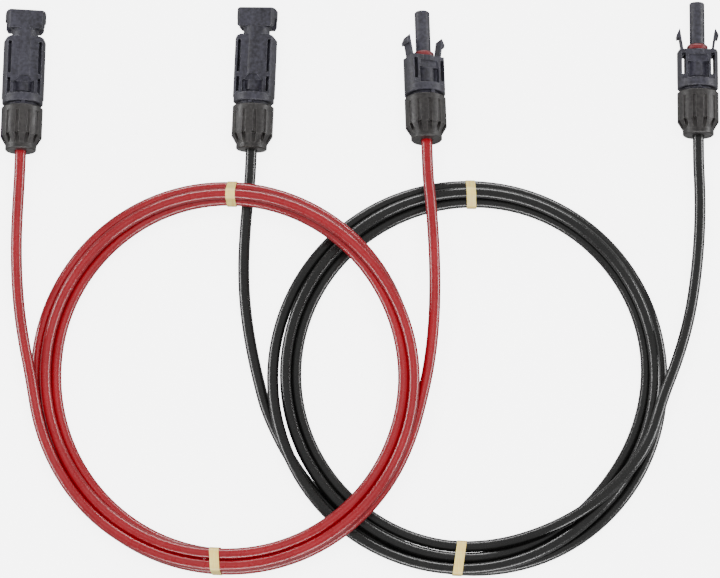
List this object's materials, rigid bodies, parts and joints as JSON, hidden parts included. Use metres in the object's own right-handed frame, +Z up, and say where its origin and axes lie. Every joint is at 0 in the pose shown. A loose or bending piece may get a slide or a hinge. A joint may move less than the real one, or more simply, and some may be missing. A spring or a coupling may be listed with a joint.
{
  "type": "solar extension lead pair",
  "caption": "Pair of solar extension leads: round tied coils of single-core cable, with latching pin and socket couplers, screwed cap nuts and slotted clamps.",
  "frame": {"origin": "on the surface that the leads lie on, at the middle of the row of four couplers", "axes": "+X along the row of couplers from the red pin coupler to the black socket coupler, +Y from the coils to the couplers' front ends, +Z up"},
  "size_m": [0.3307, 0.2669, 0.0286],
  "materials": {
    "housing": "satin moulded plastic, dark blue-grey",
    "cap_nut": "satin moulded plastic, warm black",
    "collet": "moulded plastic",
    "gland_rubber": "matt silicone rubber",
    "seal_red": "satin silicone rubber",
    "contact_metal": "tin-plated copper",
    "conductor_strands": "tinned copper strands",
    "cable_black": "satin cross-linked jacket",
    "cable_red": "satin cross-linked jacket",
    "tie": "translucent cream film"
  },
  "bodies": {
    "black_lead": {"black_pin_gland_seal": "gland_rubber", "black_pin_conductor": "conductor_strands", "black_pin_cable_stub": "cable_black", "black_pin_housing": "housing", "black_pin_contact": "contact_metal", "black_pin_tail": "cable_black", "black_socket_gland_seal": "gland_rubber", "black_socket_conductor": "conductor_strands", "black_socket_cable_stub": "cable_black", "black_socket_housing": "housing", "black_socket_contact": "contact_metal", "black_socket_spring": "contact_metal", "black_socket_front_seal": "seal_red", "black_socket_tail": "cable_black", "black_coil": "cable_black", "black_tie_top": "tie", "black_tie_bottom": "tie"},
    "red_lead": {"red_pin_gland_seal": "gland_rubber", "red_pin_conductor": "conductor_strands", "red_pin_cable_stub": "cable_red", "red_pin_housing": "housing", "red_pin_contact": "contact_metal", "red_pin_tail": "cable_red", "red_socket_gland_seal": "gland_rubber", "red_socket_conductor": "conductor_strands", "red_socket_cable_stub": "cable_red", "red_socket_housing": "housing", "red_socket_contact": "contact_metal", "red_socket_spring": "contact_metal", "red_socket_front_seal": "seal_red", "red_socket_tail": "cable_red", "red_coil": "cable_red", "red_tie_top": "tie", "red_tie_bottom": "tie"},
    "black_pin_nut_body": {"black_pin_nut": "cap_nut"},
    "black_pin_collet_body": {"black_pin_collet": "collet"},
    "red_pin_nut_body": {"red_pin_nut": "cap_nut"},
    "red_pin_collet_body": {"red_pin_collet": "collet"},
    "black_socket_nut_body": {"black_socket_nut": "cap_nut"},
    "black_socket_collet_body": {"black_socket_collet": "collet"},
    "black_socket_latch_right_body": {"black_socket_latch_right": "housing"},
    "black_socket_latch_left_body": {"black_socket_latch_left": "housing"},
    "red_socket_nut_body": {"red_socket_nut": "cap_nut"},
    "red_socket_collet_body": {"red_socket_collet": "collet"},
    "red_socket_latch_right_body": {"red_socket_latch_right": "housing"},
    "red_socket_latch_left_body": {"red_socket_latch_left": "housing"}
  },
  "joints": [
    {"name": "red_lead_lift", "type": "slide", "parent": "black_lead", "child": "red_lead", "axis": [0, 0, 1], "range_m": [0, 0.08]},
    {"name": "red_pin_collet_slide", "type": "slide", "parent": "red_lead", "child": "red_pin_collet_body", "axis": [-0.0192, -0.9981, 0.0593], "range_m": [0, 0.0045]},
    {"name": "red_pin_nut_turn", "type": "hinge", "parent": "red_pin_collet_body", "child": "red_pin_nut_body", "pos_m": [-0.1558, -0.0356, 0.0109], "axis": [-0.0192, -0.9981, 0.0593], "range_deg": [0, 1081]},
    {"name": "black_pin_collet_slide", "type": "slide", "parent": "black_lead", "child": "black_pin_collet_body", "axis": [-0.0401, -0.9992, 0], "range_m": [0, 0.0045]},
    {"name": "black_pin_nut_turn", "type": "hinge", "parent": "black_pin_collet_body", "child": "black_pin_nut_body", "pos_m": [-0.0499, -0.0348, 0.0095], "axis": [-0.0401, -0.9992, 0], "range_deg": [0, 1081]},
    {"name": "red_socket_collet_slide", "type": "slide", "parent": "red_lead", "child": "red_socket_collet_body", "axis": [0.0293, -0.9873, 0.1564], "range_m": [0, 0.0045]},
    {"name": "red_socket_nut_turn", "type": "hinge", "parent": "red_socket_collet_body", "child": "red_socket_nut_body", "pos_m": [0.03055, -0.0314, 0.0146], "axis": [0.0293, -0.9873, 0.1564], "range_deg": [0, 1081]},
    {"name": "red_socket_latch_right_bend", "type": "hinge", "parent": "red_lead", "child": "red_socket_latch_right_body", "pos_m": [0.03546, 0.00623, 0.00569], "axis": [0.434, 0.1535, 0.8877], "range_deg": [0, 9], "stiffness_Nm_per_rad": 0.2},
    {"name": "red_socket_latch_left_bend", "type": "hinge", "parent": "red_lead", "child": "red_socket_latch_left_body", "pos_m": [0.02339, 0.00679, 0.01149], "axis": [-0.434, -0.1535, -0.8877], "range_deg": [0, 9], "stiffness_Nm_per_rad": 0.2},
    {"name": "black_socket_collet_slide", "type": "slide", "parent": "black_lead", "child": "black_socket_collet_body", "axis": [-0.0087, -0.9986, 0.0523], "range_m": [0, 0.0045]},
    {"name": "black_socket_nut_turn", "type": "hinge", "parent": "black_socket_collet_body", "child": "black_socket_nut_body", "pos_m": [0.1554, -0.0284, 0.01075], "axis": [-0.0087, -0.9986, 0.0523], "range_deg": [0, 1081]},
    {"name": "black_socket_latch_right_bend", "type": "hinge", "parent": "black_lead", "child": "black_socket_latch_right_body", "pos_m": [0.16243, 0.00989, 0.00874], "axis": [0.0005, 0.0523, 0.9986], "range_deg": [0, 9], "stiffness_Nm_per_rad": 0.2},
    {"name": "black_socket_latch_left_bend", "type": "hinge", "parent": "black_lead", "child": "black_socket_latch_left_body", "pos_m": [0.14904, 0.01, 0.00874], "axis": [-0.0005, -0.0523, -0.9986], "range_deg": [0, 9], "stiffness_Nm_per_rad": 0.2}
  ],
  "couplings": [
    {"joint": "red_pin_nut_turn", "follows": "red_pin_collet_slide", "rad_per_m": 4188.8},
    {"joint": "black_pin_nut_turn", "follows": "black_pin_collet_slide", "rad_per_m": 4188.8},
    {"joint": "red_socket_nut_turn", "follows": "red_socket_collet_slide", "rad_per_m": 4188.8},
    {"joint": "black_socket_nut_turn", "follows": "black_socket_collet_slide", "rad_per_m": 4188.8}
  ]
}
